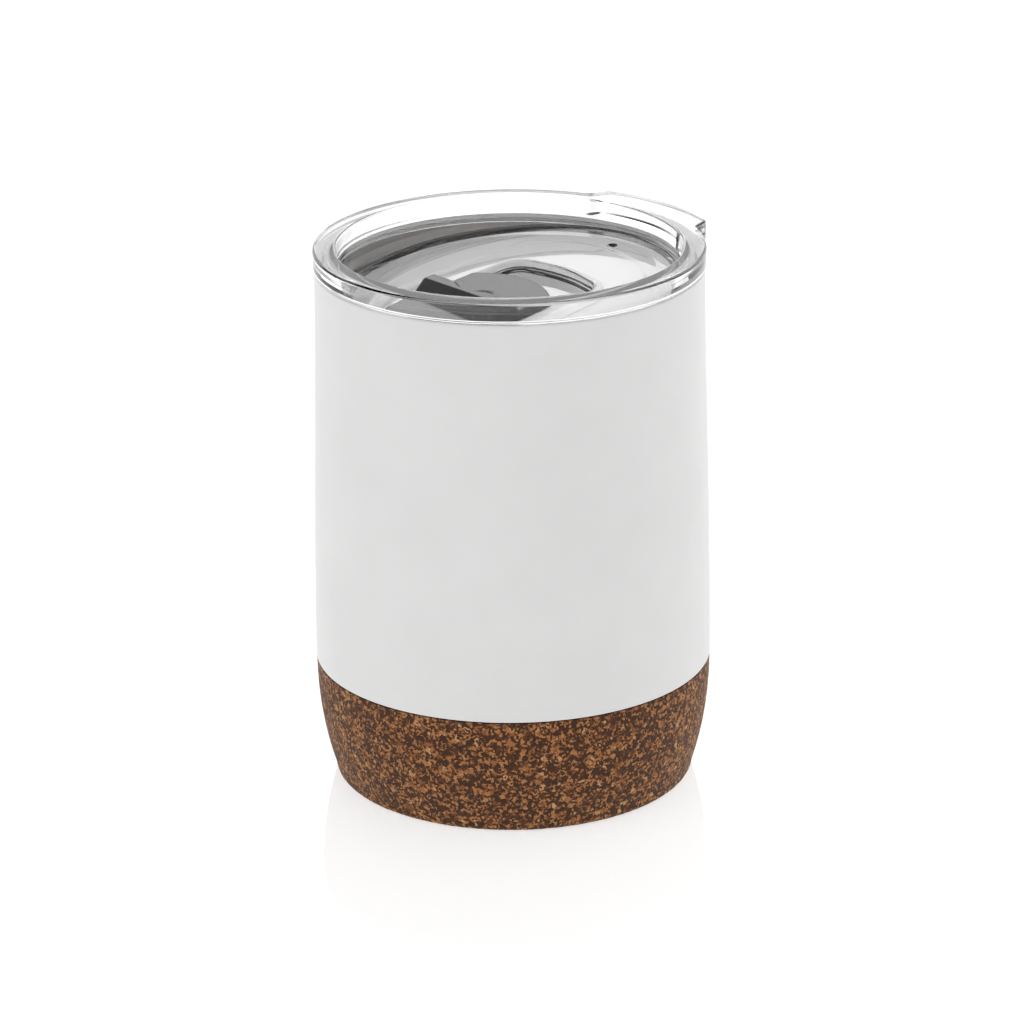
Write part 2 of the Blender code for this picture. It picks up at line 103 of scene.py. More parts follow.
FLANGE_BOTTOM = 109.3 * MM
FLANGE_EDGE = 0.6 * MM
TRAY_TOP_RADIUS = 35.2 * MM
TRAY_RADIUS = 34.65 * MM
TRAY_CENTRE = 103.73 * MM
TRAY_THICKNESS = 2.0 * MM
TRAY_STEP = 0.2 * MM
TRAY_CONE_RADIUS = 30.4 * MM
TRAY_CONE_WIDTH = 1.2 * MM
TRAY_CONE_RISE = 0.35 * MM
TRAY_CONE_BEND = 0.282
TRAY_FILLET = 0.5 * MM
TERRACE_WIDTH = 0.8 * MM
TERRACE_HALF_WIDTH = 19.8 * MM
TERRACE_FAR_RADIUS = 27.6 * MM
TERRACE_NEAR_RADIUS = 29.6 * MM
SKIRT_RADIUS = 36.4 * MM
SKIRT_INNER_RADIUS = 34.4 * MM
BEAD_TOP = 101.7 * MM
BEAD_LOW = 100.4 * MM
BEAD_REACH = 0.45 * MM
TAB_HALF_ANGLE = 25.2
TAB_END_ANGLE = 6.5
POCKET_HALF_WIDTH = 12.9 * MM
POCKET_FAR = 15.0 * MM
POCKET_NEAR_RADIUS = 28.0 * MM
POCKET_LEDGE = 1.6 * MM
POCKET_LEDGE_INSET = 0.4 * MM
POCKET_DEPTH = 2.6 * MM
POCKET_WALL = 1.8 * MM
POCKET_EDGE = 0.8 * MM
POCKET_FILLET = 0.4 * MM
TUB_FILLET = 0.5 * MM
TUB_EDGE = 0.6 * MM
UNDER_FILLET = 0.8 * MM
HOLE = (8.0 * MM, -25.4 * MM, -18.6 * MM)
SLOT = (2.1 * MM, -6.6 * MM, 8.5 * MM)
VENT_PLACE = (-1.2 * MM, 29.3 * MM)
VENT_RADIUS = 1.15 * MM

# Sizes of the stopper, in the sloping frame of the tray

SLIDER_FAR = 5.0 * MM
SLIDER_NEAR = -26.7 * MM
SLIDER_TOP = 1.0 * MM
SLIDER_BOTTOM = -2.2 * MM
SLIDER_MIDDLE = -10.0 * MM
SLIDER_EDGE = 0.5 * MM
RIDGE_HEIGHT = 4.1 * MM
SCOOP_PLACE = (-0.3 * MM, -8.5 * MM)
SCOOP_RADIUS = 3.7 * MM
SCOOP_FLOOR = -0.1 * MM
KEEPER_TOP = -4.8 * MM
KEEPER_THICKNESS = 1.4 * MM
STEM = (1.7 * MM, -6.0 * MM, -1.0 * MM)

SEGMENTS = 288

# Looks

GRAINS_PER_MM = 1.05
PLASTIC_IOR = 1.54
SILICONE_IOR = 1.41
SATIN_ROUGHNESS = 0.4
SATIN_CLEARNESS = 0.2
WHITE = (1.0, 1.0, 1.0, 1.0)
TABLE_TONE = 0.35
TABLE_GLOW = 0.68

# Light: strengths of the studio's parts, and where each part starts. Heights are the sine of the
# elevation, the sides go round the cup from 0 in front to 1 behind it, and the front is turned
# away from the camera by DARK_SIDE_TURN degrees. GAP_EDGE is the cosine of the dark gap's size.

WALL_STRENGTH = 1.2
FRONT_LIGHT = 0.22
FRONT_END = 0.35
SIDE_LIGHT = 1.0
SIDE_START = 0.66
DARK_SIDE_TURN = 24.0
TOP_LIGHT = 1.35
BOX_LIGHT = 1.5
BOX_LOW = 0.385
BOX_TOP = 0.60
BOX_SIDES = (0.76, 0.86)
GAP_DIRECTION = (-0.74, -0.30, 0.60)
GAP_EDGE = 0.83
GAP_LIGHT = 0.0

# Camera

CAMERA_AZIMUTH = 49.2
CAMERA_ELEVATION = 20.34
CAMERA_ROLL = 0.568
CAMERA_DISTANCE = 0.9617
CAMERA_LENS = 163.5
CAMERA_TARGET = Vector((0.0, 0.0, 0.0557))


# Outlines

def arc(centre, radius, start, end, steps):
    """Points on a circle in the plane, between two angles in degrees."""
    angles = [math.radians(start + (end - start) * i / steps) for i in range(steps + 1)]
    return [(centre[0] + radius * math.cos(a), centre[1] + radius * math.sin(a)) for a in angles]


def quarter(steps):
    """(sine, cosine) pairs over a quarter turn, from 0 to 90 degrees."""
    turns = [math.radians(90 * i / steps) for i in range(steps + 1)]
    return [(math.sin(turn), math.cos(turn)) for turn in turns]


def bezier(start, control_a, control_b, end, steps):
    """Points along a cubic curve in the plane."""
    points = []
    for i in range(steps + 1):
        t = i / steps
        weights = ((1 - t) ** 3, 3 * t * (1 - t) ** 2, 3 * t * t * (1 - t), t ** 3)
        knots = (start, control_a, control_b, end)
        points.append(tuple(sum(w * k[axis] for w, k in zip(weights, knots)) for axis in (0, 1)))
    return points


def rounded(corners, steps=6):
    """A closed outline in which each (x, y, radius) corner is rounded; radius 0 stays sharp."""
    outline = []
    for i, (x, y, radius) in enumerate(corners):
        if radius == 0:
            outline.append((x, y))
            continue
        here = Vector((x, y))
        before = (Vector(corners[i - 1][:2]) - here).normalized()
        after = (Vector(corners[(i + 1) % len(corners)][:2]) - here).normalized()
        half = before.angle(after) / 2
        centre = here + (before + after).normalized() * radius / math.sin(half)
        first = here + before * radius / math.tan(half) - centre
        last = here + after * radius / math.tan(half) - centre
        sweep = first.angle_signed(last)
        for k in range(steps + 1):
            outline.append(tuple(centre + Matrix.Rotation(-sweep * k / steps, 2) @ first))
    return outline


def smoothstep(low, high, value):
    """0 below low, 1 above high, and an even curve between."""
    t = min(max((value - low) / (high - low), 0.0), 1.0)
    return t * t * (3 - 2 * t)


def to_tray(x, slope_y, height):
    """A point given across, up and square to the sloping tray, in the lid's own frame."""
    return (x, slope_y * math.cos(TRAY_TILT) - height * math.sin(TRAY_TILT),
            TRAY_CENTRE + slope_y * math.sin(TRAY_TILT) + height * math.cos(TRAY_TILT))


# Meshes

def finish_mesh(name, verts, faces, look, body, slot, *nodes, sharp=38):
    """Make a named, smoothly shaded piece that rides on a body and stands for its CAD nodes."""
    mesh = bpy.data.meshes.new(name)
    mesh.from_pydata([tuple(v) for v in verts], [], faces)
    bm = bmesh.new()
    bm.from_mesh(mesh)
    bmesh.ops.remove_doubles(bm, verts=bm.verts, dist=1e-7)
    bmesh.ops.recalc_face_normals(bm, faces=bm.faces)
    bm.to_mesh(mesh)
    bm.free()
    mesh.shade_smooth()
    mesh.set_sharp_from_angle(angle=math.radians(sharp))
    piece = bpy.data.objects.new(name, mesh)
    bpy.context.scene.collection.objects.link(piece)
    mesh.materials.append(look)
    if body:
        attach(piece, body)
        if nodes:
            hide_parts(*nodes)
    return piece


def even_shading(piece):
    """Let large flat faces decide the shading of the small rounded edges that meet them."""
    shading = piece.modifiers.new("even_shading", "WEIGHTED_NORMAL")
    shading.keep_sharp = True


def skin(loops, closed=False, capped=False):
    """Vertices and faces of the surface through loops of equal length."""
    count = len(loops[0])
    rows = len(loops)
    faces = []
    for row in range(rows if closed else rows - 1):
        lower = row * count
        upper = (row + 1) % rows * count
        for i in range(count):
            j = (i + 1) % count
            faces.append((lower + i, lower + j, upper + j, upper + i))
    if capped:
        faces.append(tuple(reversed(range(count))))
        faces.append(tuple(range((rows - 1) * count, rows * count)))
    return [p for loop in loops for p in loop], faces


def turned(profile, segments=SEGMENTS):
    """Vertices and faces of a closed (radius, height) outline spun about the vertical axis."""
    turns = [math.tau * i / segments for i in range(segments)]
    return skin([[(r * math.cos(a), r * math.sin(a), z) for a in turns] for r, z in profile], True)


def cut(piece, outline, bottom, top, name):
    """Cut a flat outline, given in the sloping frame, through a piece and apply the cut."""
    loops = [[to_tray(x, y, z) for x, y in outline] for z in (bottom, top)]
    verts, faces = skin(loops, capped=True)
    cutter = finish_mesh(name, verts, faces, piece.data.materials[0], None, None)
    boolean = piece.modifiers.new(name, "BOOLEAN")
    boolean.operation = "DIFFERENCE"
    boolean.solver = "EXACT"
    boolean.object = cutter
    bpy.context.view_layer.update()
    graph = bpy.context.evaluated_depsgraph_get()
    result = bpy.data.meshes.new_from_object(piece.evaluated_get(graph), depsgraph=graph)
    piece.modifiers.clear()
    piece.data = result
    bpy.data.objects.remove(cutter)


# Materials

def add_node(tree, kind, inputs=None, **settings):
    """Add a shader node, with its settings, and its inputs either set or linked."""
    made = tree.nodes.new("ShaderNode" + kind)
    for key, value in settings.items():
        setattr(made, key, value)
    for key, value in (inputs or {}).items():
        if isinstance(value, bpy.types.NodeSocket):
            tree.links.new(value, made.inputs[key])
        else:
            made.inputs[key].default_value = value
    return made


def start_material(name, **sockets):
    """A node material with its shader's plain values set, and object coordinates in millimetres."""
    made = bpy.data.materials.new(name)
    made.use_nodes = True
    tree = made.node_tree
    shader = tree.nodes["Principled BSDF"]
    for key, value in sockets.items():
        shader.inputs[key.replace("_", " ")].default_value = value
    place = add_node(tree, "TexCoord")
    scaled = add_node(tree, "VectorMath", {0: place.outputs["Object"], "Scale": 1 / MM},
                      operation="SCALE")
    return made, tree, shader, scaled.outputs[0]


def cloud(tree, at, size, detail=2.0, roughness=0.5):
    """Soft noise whose patches are about that many millimetres across."""
    inputs = {"Vector": at, "Scale": 1 / size, "Detail": detail, "Roughness": roughness}
    return add_node(tree, "TexNoise", inputs).outputs["Fac"]


def stretched(tree, at, x, y, z):
    """Coordinates squeezed along each axis by a factor."""
    return add_node(tree, "VectorMath", {0: at, 1: (x, y, z)}, operation="MULTIPLY").outputs[0]


def ramp(tree, factor, *stops):
    """Colours along a factor; each stop is (position, (red, green, blue))."""
    made = add_node(tree, "ValToRGB", {"Fac": factor})
    elements = made.color_ramp.elements
    while len(elements) < len(stops):
        elements.new(0.5)
    for element, (position, colour) in zip(elements, stops):
        element.position = position
        element.color = (*colour, 1.0)
    return made.outputs["Color"]


def between(tree, factor, low, high):
    """A number that goes from low to high as the factor goes from 0 to 1."""
    return add_node(tree, "MapRange", {"Value": factor, "To Min": low, "To Max": high}).outputs[0]


def between_limits(tree, value, low, high):
    """A number that goes from 0 at one limit to 1 at the other."""
    inputs = {"Value": value, "From Min": low, "From Max": high}
    return add_node(tree, "MapRange", inputs).outputs[0]


def blend_colour(tree, factor, first, second):
    """A mix of two colours by a factor."""
    return add_node(tree, "Mix", {0: factor, 6: first, 7: second}, data_type="RGBA").outputs[2]


def combine(tree, operation, first, second):
    """A sum, product or other function of two numbers."""
    return add_node(tree, "Math", {0: first, 1: second}, operation=operation).outputs[0]


def relief(tree, shader, height, depth):
    """Bump the surface by a height field, in millimetres."""
    made = add_node(tree, "Bump", {"Height": height, "Distance": depth * MM, "Strength": 1.0})
    tree.links.new(made.outputs["Normal"], shader.inputs["Normal"])


def wire(tree, output, shader, name):
    """Link an output into one of the shader's sockets."""
    tree.links.new(output, shader.inputs[name])


def white_coat_look():
    """Baked powder coat: satin white with a fine orange-peel texture."""
    made, tree, shader, at = start_material("white_powder_coat", Specular_IOR_Level=0.5)
    patches = cloud(tree, at, 14.0, 3.0)
    peel = cloud(tree, at, 0.55, 2.0)
    wire(tree, ramp(tree, patches, (0.3, (0.87, 0.87, 0.865)), (0.7, (0.90, 0.90, 0.895))),
         shader, "Base Color")
    wire(tree, between(tree, peel, 0.36, 0.46), shader, "Roughness")
    relief(tree, shader, peel, 0.012)
    return made


def steel_look(name, colour, rough, line_depth):
    """Drawn stainless steel with fine turning lines round the axis and faint clouding."""
    made, tree, shader, at = start_material(name, Metallic=1.0)
    lines = cloud(tree, stretched(tree, at, 0.04, 0.04, 1.0), 0.16, 3.0, 0.65)
    patches = cloud(tree, at, 9.0, 3.0)
    shade = tuple(c * 0.9 for c in colour)
    wire(tree, ramp(tree, patches, (0.3, shade), (0.7, colour)), shader, "Base Color")
    wire(tree, between(tree, lines, rough * 0.7, rough * 1.5), shader, "Roughness")
    relief(tree, shader, lines, line_depth)
    return made


def cork_look():
    """Agglomerated cork: small granules from dark brown to orange, pale flecks, and fine grit."""
    made, tree, shader, at = start_material("cork", Roughness=0.7, Specular_IOR_Level=0.2,
                                            Sheen_Weight=0.12, Sheen_Tint=(1.0, 0.78, 0.58, 1.0))
    drift = add_node(tree, "TexNoise", {"Vector": at, "Scale": 1.1, "Detail": 2.0})
    warped = add_node(tree, "VectorMath", {0: at, 1: drift.outputs["Color"]},
                      operation="ADD").outputs[0]
    grains = add_node(tree, "TexVoronoi", {"Vector": warped, "Scale": GRAINS_PER_MM})
    flecks = add_node(tree, "TexVoronoi", {"Vector": warped, "Scale": 2 * GRAINS_PER_MM})
    edges = add_node(tree, "TexVoronoi", {"Vector": warped, "Scale": GRAINS_PER_MM},
                     feature="DISTANCE_TO_EDGE")
    pick = add_node(tree, "SeparateColor", {"Color": grains.outputs["Color"]}).outputs[0]
    pick_fleck = add_node(tree, "SeparateColor", {"Color": flecks.outputs["Color"]}).outputs[1]
    base = ramp(tree, pick, (0.0, (0.050, 0.021, 0.011)), (0.42, (0.080, 0.032, 0.015)),
                (0.60, (0.17, 0.062, 0.022)), (0.76, (0.38, 0.140, 0.042)),
                (0.90, (0.58, 0.24, 0.080)), (1.0, (0.80, 0.46, 0.22)))
    bright = between_limits(tree, pick_fleck, 0.78, 0.86)
    base = blend_colour(tree, bright, base, (0.60, 0.25, 0.085, 1))
    dim = between_limits(tree, pick_fleck, 0.34, 0.26)
    base = blend_colour(tree, dim, base, (0.062, 0.026, 0.013, 1))
    grit = cloud(tree, at, 0.20, 3.0, 0.6)
    base = blend_colour(tree, between(tree, grit, 0.0, 0.40), base, (0.055, 0.023, 0.012, 1))
    border = between_limits(tree, edges.outputs["Distance"], 0.0, 0.10)
    base = blend_colour(tree, between(tree, border, 0.35, 0.0), base, (0.045, 0.020, 0.011, 1))
    wire(tree, base, shader, "Base Color")
    height = combine(tree, "ADD", border, combine(tree, "MULTIPLY", grit, 0.8))
    relief(tree, shader, height, 0.05)
    return made


def clear_plastic_look():
    """Injection-moulded clear plastic: bright, with the faintest flow ripple and fine scuffs."""
    made, tree, shader, at = start_material("clear_plastic", IOR=PLASTIC_IOR,
                                            Transmission_Weight=1.0)
    flow = cloud(tree, at, 11.0, 2.0)
    scuffs = cloud(tree, stretched(tree, at, 1.0, 0.15, 1.0), 0.5, 2.0)
    wire(tree, ramp(tree, flow, (0.3, (0.955, 0.955, 0.96)), (0.7, (0.97, 0.97, 0.973))),
         shader, "Base Color")
    wire(tree, between(tree, scuffs, 0.0, 0.02), shader, "Roughness")
    relief(tree, shader, flow, 0.02)
    return made


def satin_plastic_look():
    """The same clear plastic where the mould was left satin, so what lies below looks soft."""
    made, tree, shader, at = start_material("satin_plastic", IOR=PLASTIC_IOR,
                                            Transmission_Weight=SATIN_CLEARNESS)
    flow = cloud(tree, at, 9.0, 2.0)
    grain = cloud(tree, at, 0.25, 2.0)
    wire(tree, ramp(tree, flow, (0.3, (0.985, 0.98, 0.985)), (0.7, (0.995, 0.995, 0.99))),
         shader, "Base Color")
    wire(tree, between(tree, grain, 0.8 * SATIN_ROUGHNESS, 1.2 * SATIN_ROUGHNESS), shader,
         "Roughness")
    relief(tree, shader, grain, 0.004)
    return made


def soft_seal_look(name, colour, clearness, rough):
    """Moulded silicone: soft sheen, slightly cloudy, with a dusty fine grain."""
    made, tree, shader, at = start_material(name, IOR=SILICONE_IOR,
                                            Transmission_Weight=clearness)
    grain = cloud(tree, at, 0.3, 2.0)
    patches = cloud(tree, at, 5.0, 2.0)
    shade = tuple(c * 0.97 for c in colour)
    wire(tree, ramp(tree, patches, (0.3, shade), (0.7, colour)), shader, "Base Color")
    wire(tree, between(tree, grain, rough * 0.8, rough * 1.2), shader, "Roughness")
    relief(tree, shader, grain, 0.004)
    return made


def dark_plastic_look():
    """Moulded charcoal plastic with a fine spark-eroded grain."""
    made, tree, shader, at = start_material("charcoal_plastic", Specular_IOR_Level=0.5)
    grain = cloud(tree, at, 0.12, 2.0, 0.6)
    patches = cloud(tree, at, 4.0, 2.0)
    dark, light = (0.0050, 0.0040, 0.0032), (0.0072, 0.0060, 0.0050)
    wire(tree, ramp(tree, patches, (0.3, dark), (0.7, light)), shader, "Base Color")
    wire(tree, between(tree, grain, 0.16, 0.36), shader, "Roughness")
    relief(tree, shader, grain, 0.008)
    return made


def grainy_look(name, dark, light, rough, metal=0.0, size=0.4):
    """A plain hidden part: two close tones in fine grains, with a matching relief."""
    made, tree, shader, at = start_material(name, Metallic=metal)
    grain = cloud(tree, at, size, 3.0, 0.6)
    wire(tree, ramp(tree, grain, (0.3, dark), (0.7, light)), shader, "Base Color")
    wire(tree, between(tree, grain, rough * 0.8, rough * 1.2), shader, "Roughness")
    relief(tree, shader, grain, 0.02)
    return made


# The cup

def body_line(steps):
    """The coated wall's outer line from the lip down to the cork."""
    return bezier((RIM_RADIUS, SHELL_TOP), (39.95 * MM, 80 * MM), (41.09 * MM, 55 * MM),
                  (SHELL_HIGH.x, CORK_TOP + 0.7 * MM), steps)


def cork_line(steps):
    """The cork's outer line from its top edge down to the start of its rounded foot."""
    return bezier((BODY_RADIUS, CORK_TOP), (BODY_RADIUS, 10.5 * MM), (37.4 * MM, 2.6 * MM),
                  (37.45 * MM, CORK_FOOT_EDGE), steps)


def cork_radius(height):
    """The cork's outer radius at a height."""
    points = cork_line(60)
    for (r_a, z_a), (r_b, z_b) in zip(points, points[1:]):
        if z_b <= height <= z_a:
            return r_a + (r_b - r_a) * (z_a - height) / (z_a - z_b)
    return points[-1][0]


def lip_line():
    """The steel lip's line from the mouth's wall, over the lead-in, to its outer edge."""
    line = bezier((MOUTH_RADIUS, LIP_TOP - 2.2 * MM), (MOUTH_RADIUS, LIP_TOP - 1.7 * MM),
                  (MOUTH_RADIUS + 0.1 * MM, LIP_TOP - 1.5 * MM),
                  (MOUTH_RADIUS + 0.25 * MM, LIP_TOP - 1.3 * MM), 8)
    line += bezier((MOUTH_RADIUS + 1.0 * MM, LIP_TOP - 0.28 * MM),
                   (MOUTH_RADIUS + 1.15 * MM, LIP_TOP - 0.08 * MM),
                   (MOUTH_RADIUS + 1.25 * MM, LIP_TOP), (LIP_OUTER_RADIUS, LIP_TOP), 6)
    return line + arc((LIP_OUTER_RADIUS, LIP_TOP - LIP_EDGE), LIP_EDGE, 90, 0, 8)[1:]


def moved_line(line, distance):
    """A line moved sideways by a distance, to the left of its direction."""
    moved = []
    for i, (r, z) in enumerate(line):
        (r_a, z_a), (r_b, z_b) = line[max(i - 1, 0)], line[min(i + 1, len(line) - 1)]
        length = math.hypot(r_b - r_a, z_b - z_a)
        moved.append((r - distance * (z_b - z_a) / length, z + distance * (r_b - r_a) / length))
    return moved


def build_coated_wall(look):
    """Coated outer wall, wrapped over the lip and stepped in where the cork fits round it."""
    outside = body_line(48)
    edge = arc((SHELL_HIGH.x - SHELL_EDGE, SHELL_FOOT + SHELL_EDGE), SHELL_EDGE, -8, -90, 8)
    inset = CORK_WALL + CORK_BOND
    low_heights = (SHELL_FOOT, 19 * MM, 12 * MM, SHELL_BOTTOM)
    low = [(cork_radius(min(z, CORK_TOP)) - inset, z) for z in low_heights]
    inside = [(r - STEEL, z) for r, z in reversed(low[1:])]
    inside += [(low[0][0] - STEEL, SHELL_FOOT + STEEL),
               (40.3 * MM, SHELL_FOOT + STEEL + SHELL_EDGE)]
    inside += [(r - STEEL, z) for r, z in reversed(outside[3:-1])]
    inside.append((RIM_RADIUS - STEEL, SHELL_TOP))
    wrapped = [point for point in lip_line() if point[1] > LIP_TOP - COAT_WRAP]
    profile = moved_line(wrapped, COAT_SKIN) + outside + edge + low + inside
    profile += moved_line(wrapped, -COAT_DEPTH)[::-1]
    even_shading(finish_mesh("coated_wall", *turned(profile), look, "cup", "white_coat",
                             "outer_shell"))


def build_liner(look):
    """Polished inner wall and its rolled lip, with the dished floor welded in at the seam."""
    lip = lip_line() + [(39.62 * MM, SHELL_TOP + 0.3 * MM), (39.3 * MM, LIP_TOP - STEEL)]
    lip += arc((MOUTH_RADIUS + LIP_ROLL, LIP_TOP - LIP_ROLL), LIP_ROLL - STEEL, 90, 180, 12)
    neck, wall, low = (r + STEEL for r in (MOUTH_RADIUS, LINER_RADIUS, LINER_LOW_RADIUS))
    outside = bezier((neck, 98.5 * MM), (neck, 96.9 * MM), (wall, 97.1 * MM), (wall, 95.5 * MM), 10)
    outside += bezier((wall, 41 * MM), (wall, 33 * MM), (low, 36 * MM), (low, 28 * MM), 16)
    outside += [(low, LINER_SEAM)]
    inside = [(r - STEEL, z) for r, z in reversed(outside)]
    even_shading(finish_mesh("liner_wall", *turned(lip + outside + inside), look, "cup",
                             "polished_steel", "inner_liner"))
    centre = (LINER_LOW_RADIUS - LINER_CORNER, LINER_FLOOR + LINER_CORNER)
    top = LINER_SEAM - 0.3 * MM
    floor = [(low, top)] + arc(centre, LINER_CORNER + STEEL, 0, -90, 14)
    floor += [(0.0, LINER_FLOOR - STEEL), (0.0, LINER_FLOOR)]
    floor += arc(centre, LINER_CORNER, -90, 0, 14) + [(LINER_LOW_RADIUS, top)]
    even_shading(finish_mesh("liner_floor", *turned(floor), look, "cup", "polished_steel",
                             "liner_base"))


def build_cork(look):
    """Cork foot whose outside is pressed granules: shallow crevices where the granules meet."""
    outside = cork_line(60)
    foot = arc((35.85 * MM, CORK_FOOT_EDGE), CORK_FOOT_EDGE, -8, -90, 10)
    under = [(r * MM, 0.0) for r in range(35, 0, -1)] + [(0.0, 0.0)]
    inside_heights = (CORK_FLOOR, 8 * MM, 14 * MM, 19 * MM, CORK_TOP)
    inside = [(0.0, CORK_FLOOR)] + [(cork_radius(z) - CORK_WALL, z) for z in inside_heights]
    rough_rows = len(outside) + len(foot) + len(under) - 1
    segments = 2 * SEGMENTS
    verts, faces = turned(outside + foot + under + inside, segments)
    carved = []
    for i, v in enumerate(verts):
        if i >= rough_rows * segments:
            carved.append(v)
            continue
        point = Vector(v)
        near, second = noise.voronoi(point / CORK_GRANULE)[0][:2]
        crevice = CREVICE_DEPTH * (1 - smoothstep(0.0, 0.22, second - near))
        dent = DENT_DEPTH * (0.5 + 0.5 * noise.noise(point / DENT_SIZE))
        outward = Vector((v[0], v[1], 0.0)).normalized() * (1.0 if v[2] > 1e-6 else 0.0)
        upward = Vector((0, 0, 1.0 if v[2] < 1.2 * MM else 0.0))
        carved.append(tuple(point - (outward - upward) * (crevice + dent)))
    finish_mesh("cork_foot", carved, faces, look, "cup", "cork", "cork_base", sharp=60)


# The lid

def tab_reach(angle):
    """How far the thumb tab stands out of the flange in a direction, in degrees from +Y."""
    off_axis = min(angle, 360 - angle)
    rise = min(max((TAB_HALF_ANGLE - off_axis) / TAB_END_ANGLE, 0.0), 1.0)
    return TAB_REACH * rise * rise * (3 - 2 * rise)


def lid_bearings():
    """Directions from +Y, in degrees, closer together at the ends of the thumb tab."""
    even = [i * 1.0 for i in range(360)]
    low = TAB_HALF_ANGLE - TAB_END_ANGLE - 0.6
    high = TAB_HALF_ANGLE + 0.6
    close = [low + (high - low) * i / 18 for i in range(19)]
    kept = [a for a in even if not low - 0.4 < min(a, 360 - a) < high + 0.4]
    return sorted(kept + close + [360 - a for a in close])


BEARINGS = lid_bearings()


def lid_ring(radius, height, with_tab=False):
    """One level ring of the lid."""
    ring = []
    for angle in BEARINGS:
        reach = radius + (tab_reach(angle) if with_tab else 0.0)
        bearing = math.radians(angle)
        ring.append((-reach * math.sin(bearing), reach * math.cos(bearing), height))
    return ring


HUB = (0.0, -7.0 * MM)


def hub_rays():
    """Unit directions from the recess's middle to each bearing on the tray's wall."""
    rays = []
    for angle in BEARINGS:
        bearing = math.radians(angle)
        towards = Vector((-TRAY_RADIUS * math.sin(bearing) - HUB[0],
                          TRAY_RADIUS * math.cos(bearing) - HUB[1]))
        rays.append(towards.normalized())
    return rays


RAYS = hub_rays()


def reach_outline(outline):
    """How far each ray from the hub goes before it crosses a closed outline."""
    points = np.array(outline) - np.array(HUB)
    steps = np.roll(points, -1, axis=0) - points
    reaches = []
    for ray in RAYS:
        along = np.array(ray)
        cross = along[0] * steps[:, 1] - along[1] * steps[:, 0]
        cross = np.where(np.abs(cross) < 1e-15, 1e-15, cross)
        distance = (points[:, 0] * steps[:, 1] - points[:, 1] * steps[:, 0]) / cross
        share = (points[:, 0] * along[1] - points[:, 1] * along[0]) / cross
        hits = distance[(share >= -1e-9) & (share <= 1 + 1e-9) & (distance > 0)]
        reaches.append(float(hits.min()))
    return reaches


def pocket_outline(inset):
    """Recess outline: straight sides, gently bowed far end, near end following the tray's wall."""
    half = POCKET_HALF_WIDTH - inset
    far = POCKET_FAR - inset
    radius = POCKET_NEAR_RADIUS - inset
    reach = math.degrees(math.asin((half - 2.5 * MM) / radius))
    near = arc((0.0, 0.0), radius, -90 - reach, -90 + reach, 24)
    corner_y = -math.sqrt(radius ** 2 - half ** 2)
    far_end = rounded([(half, far - 2.3 * MM, 4.0 * MM - inset), (0.0, far, 36 * MM),
                       (-half, far - 2.3 * MM, 4.0 * MM - inset),
                       (-half, -60 * MM, 0.1 * MM), (half, -60 * MM, 0.1 * MM)], 24)
    far_end = [point for point in far_end if point[1] > 0]
    return near + [(half, corner_y + 2.2 * MM)] + far_end + [(-half, corner_y + 2.2 * MM)]


def terrace_outline(offset):
    """The faint step round the recess: a long U that meets the tray's edge at both ends."""
    half = TERRACE_HALF_WIDTH + offset
    round_far = arc((0.0, 0.0), TERRACE_FAR_RADIUS + offset, 50, 130, 24)
    round_near = arc((0.0, 0.0), TERRACE_NEAR_RADIUS + offset, 236, 304, 24)
    side = bezier(round_near[-1], (half, round_near[-1][1] + 4 * MM), (half, -16 * MM),
                  (half, -12 * MM), 12)
    side += bezier((half, 4 * MM), (half, 12 * MM), (round_far[0][0] + 1.6 * MM, 18.5 * MM),
                   round_far[0], 14)
    return side + round_far[1:-1] + [(-x, y) for x, y in reversed(side)] + round_near[1:-1]


def tray_ring(outline, height):
    """A ring on the tray: an outline of the sloping frame at a height square to the tray."""
    ring = []
    for ray, reach in zip(RAYS, reach_outline(outline)):
        ring.append(to_tray(HUB[0] + ray.x * reach, HUB[1] + ray.y * reach, height))
    return ring


def lowered(ring, share):
    """A ring of the tray's middle, set a little below the border, less so towards the mouth."""
    return [(x, y, z - share * TRAY_STEP * smoothstep(-30 * MM, 4 * MM, y)) for x, y, z in ring]


def foot_ring(inward, upward):
    """A ring near the foot of the tray's wall, following the slope of the tray."""
    ring = lid_ring(TRAY_RADIUS - inward, 0.0)
    return [(x, y, TRAY_CENTRE + math.tan(TRAY_TILT) * y + upward) for x, y, _ in ring]


def under_ring(inward, upward):
    """A ring near the top of the plug's inside, under the tray."""
    ring = lid_ring(SKIRT_INNER_RADIUS - inward, 0.0)
    under = TRAY_CENTRE - TRAY_THICKNESS
    return [(x, y, under + math.tan(TRAY_TILT) * y + upward) for x, y, _ in ring]


def recess_loops():
    """The stepped recess from its floor up to the rounded edge and the faint terrace round it."""
    fillet = arc((POCKET_FILLET, POCKET_FILLET), POCKET_FILLET, 180, 270, 5)
    steps = [(POCKET_LEDGE_INSET + run, -POCKET_DEPTH + rise) for run, rise in reversed(fillet)]
    steps += [(POCKET_LEDGE_INSET, -POCKET_LEDGE - 0.15 * MM),
              (POCKET_LEDGE_INSET - 0.05 * MM, -POCKET_LEDGE - 0.05 * MM),
              (POCKET_LEDGE_INSET - 0.15 * MM, -POCKET_LEDGE),
              (0.12 * MM, -POCKET_LEDGE + 0.02 * MM), (0.0, -POCKET_LEDGE + 0.14 * MM)]
    steps += [(-POCKET_EDGE * (1 - cosine), -POCKET_EDGE * (1 - sine))
              for sine, cosine in quarter(8)]
    steps.append((-POCKET_EDGE - 0.3 * MM, 0.0))
    loops = [lowered(tray_ring(pocket_outline(inset), height), 1.0) for inset, height in steps]
    for k in range(9):
        terrace = tray_ring(terrace_outline((k / 8 - 0.5) * TERRACE_WIDTH), 0.0)
        loops.append(lowered(terrace, 1 - smoothstep(0, 8, k)))
    return loops


